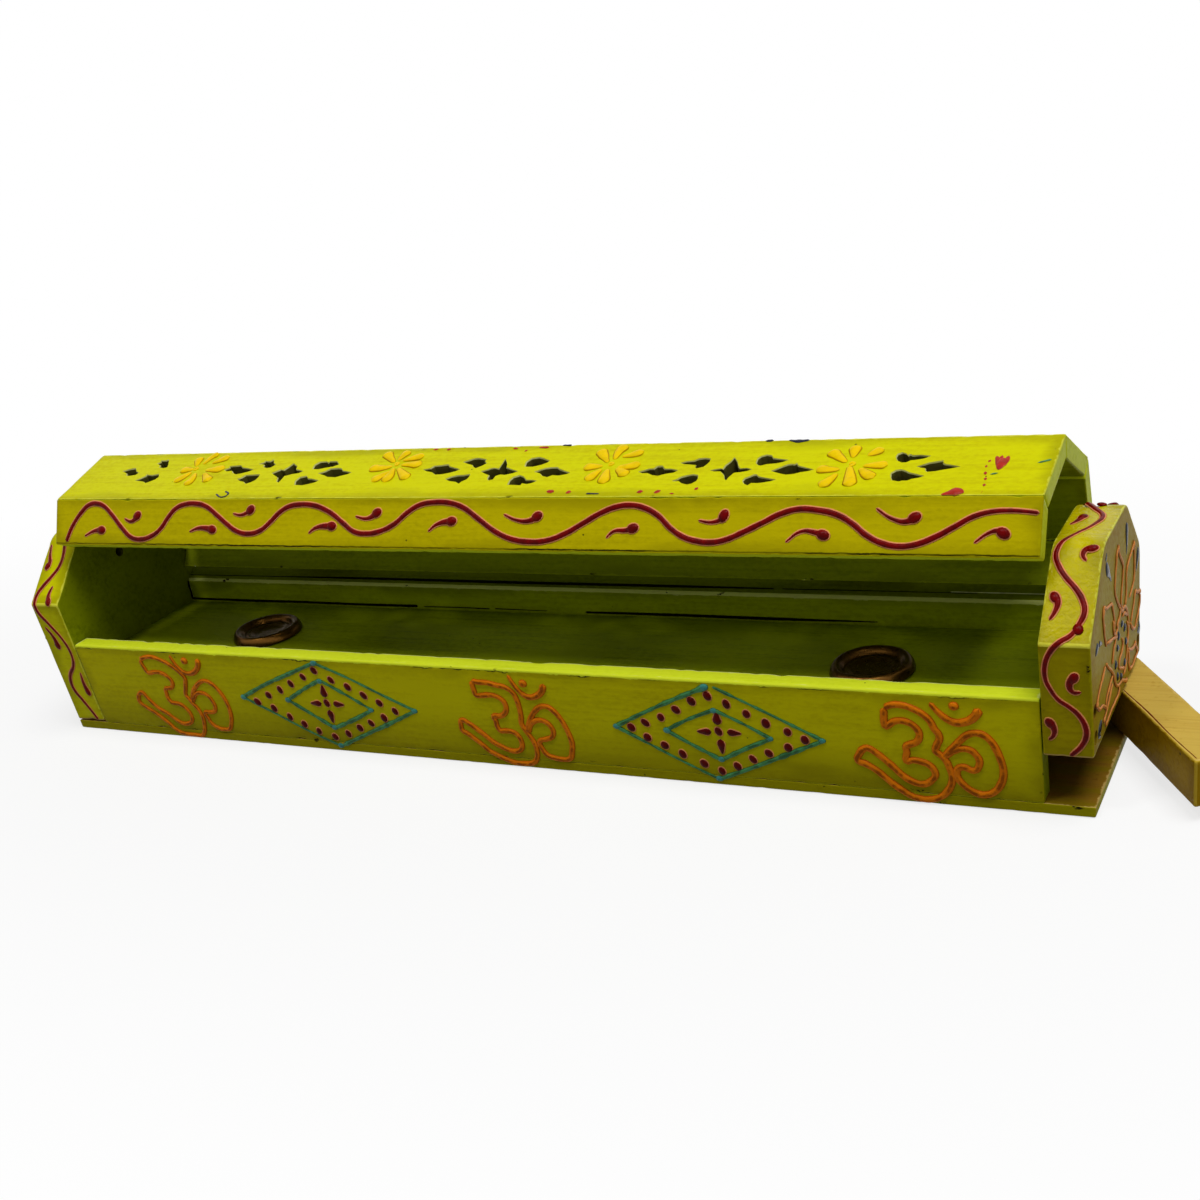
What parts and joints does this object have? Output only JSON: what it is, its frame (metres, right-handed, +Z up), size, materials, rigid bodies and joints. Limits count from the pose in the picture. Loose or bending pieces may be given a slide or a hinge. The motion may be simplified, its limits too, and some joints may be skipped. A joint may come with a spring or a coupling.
{
  "type": "incense box",
  "caption": "Long six-sided wooden incense box with a pierced hinged lid over an ash tray, and a stick store below it that a pivoting end stick closes.",
  "frame": {"origin": "centre of the base plank's underside, on the surface that the box stands on", "axes": "+X along the box towards the end with the store door, -Y out of the front wall, +Z up"},
  "size_m": [0.3282, 0.0618, 0.0743],
  "materials": {
    "lime_paint": "yellow-green brushed paint over wood, satin, worn at the edges",
    "bare_wood": "raw pale wood with yellow-green paint on its sides",
    "old_bronze": "darkened bronze, polished on its ridges",
    "hinge_brass": "dull brass",
    "nail_steel": "dull steel"
  },
  "bodies": {
    "box": {"base_plank": "lime_paint", "front_wall": "lime_paint", "rear_wall": "lime_paint", "tray_floor": "lime_paint", "end_board_left": "lime_paint", "end_board_right": "lime_paint", "hinge_leaf_base_left": "hinge_brass", "hinge_leaf_base_right": "hinge_brass", "hinge_pin_left": "hinge_brass", "hinge_pin_right": "hinge_brass", "hinge_nail_base_left_1": "nail_steel", "hinge_nail_base_left_2": "nail_steel", "hinge_nail_base_right_1": "nail_steel", "hinge_nail_base_right_2": "nail_steel", "plank_brad_front_1": "nail_steel", "plank_brad_front_2": "nail_steel", "plank_brad_front_3": "nail_steel", "plank_brad_rear_1": "nail_steel", "plank_brad_rear_2": "nail_steel", "plank_brad_rear_3": "nail_steel", "end_brad_left_front_1": "nail_steel", "end_brad_left_front_2": "nail_steel", "end_brad_left_rear_1": "nail_steel", "end_brad_left_rear_2": "nail_steel", "end_brad_right_front_1": "nail_steel", "end_brad_right_front_2": "nail_steel", "end_brad_right_rear_1": "nail_steel", "end_brad_right_rear_2": "nail_steel", "cone_cup_left": "old_bronze", "cone_cup_right": "old_bronze", "door_pivot_nail": "nail_steel"},
    "lid": {"lid_front_strip": "lime_paint", "lid_front_slope": "lime_paint", "lid_top": "lime_paint", "lid_rear_slope": "lime_paint", "lid_rear_strip": "lime_paint", "hinge_leaf_lid_left": "hinge_brass", "hinge_leaf_lid_right": "hinge_brass", "hinge_nail_lid_left_1": "nail_steel", "hinge_nail_lid_left_2": "nail_steel", "hinge_nail_lid_right_1": "nail_steel", "hinge_nail_lid_right_2": "nail_steel"},
    "store_door": {"store_door": "bare_wood"}
  },
  "joints": [
    {"name": "lid_hinge", "type": "hinge", "parent": "box", "child": "lid", "pos_m": [0, 0.03028, 0.03137], "axis": [-1, 0, 0], "range_deg": [-29.2, 150]},
    {"name": "store_door_pivot", "type": "hinge", "parent": "box", "child": "store_door", "pos_m": [0.14595, 0.02142, 0.0088], "axis": [0, 0, 1], "range_deg": [-33.2, 146.8]}
  ]
}
